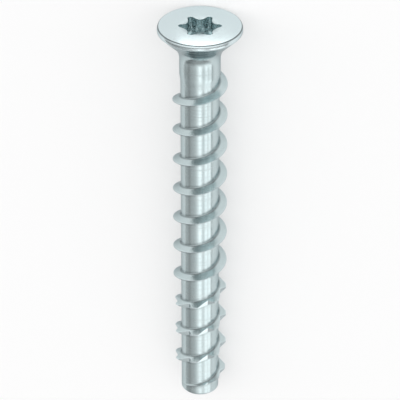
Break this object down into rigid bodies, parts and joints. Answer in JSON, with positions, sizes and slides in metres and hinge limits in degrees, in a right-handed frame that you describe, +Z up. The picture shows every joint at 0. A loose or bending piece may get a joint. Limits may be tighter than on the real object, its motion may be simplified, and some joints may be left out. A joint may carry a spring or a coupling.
{
  "type": "countersunk concrete screw",
  "caption": "Countersunk concrete screw with a six-lobe recess, a coarse right-hand thread and a flat tip with saw-toothed leading turns.",
  "frame": {"origin": "middle of the bounding box's footprint, on the floor that the screw lies on", "axes": "+X from the head toward the tip (the screw's axis leans 2.4 degrees, since the head rim is larger than the thread), +Z up, +Y to the left of +X; the head is at -X"},
  "size_m": [0.0596, 0.0116, 0.0115],
  "materials": {
    "zinc_plated_steel": "bright blue-white zinc plating, smooth and slightly satin"
  },
  "bodies": {
    "root": {"concrete_screw": "zinc_plated_steel"}
  },
  "joints": []
}
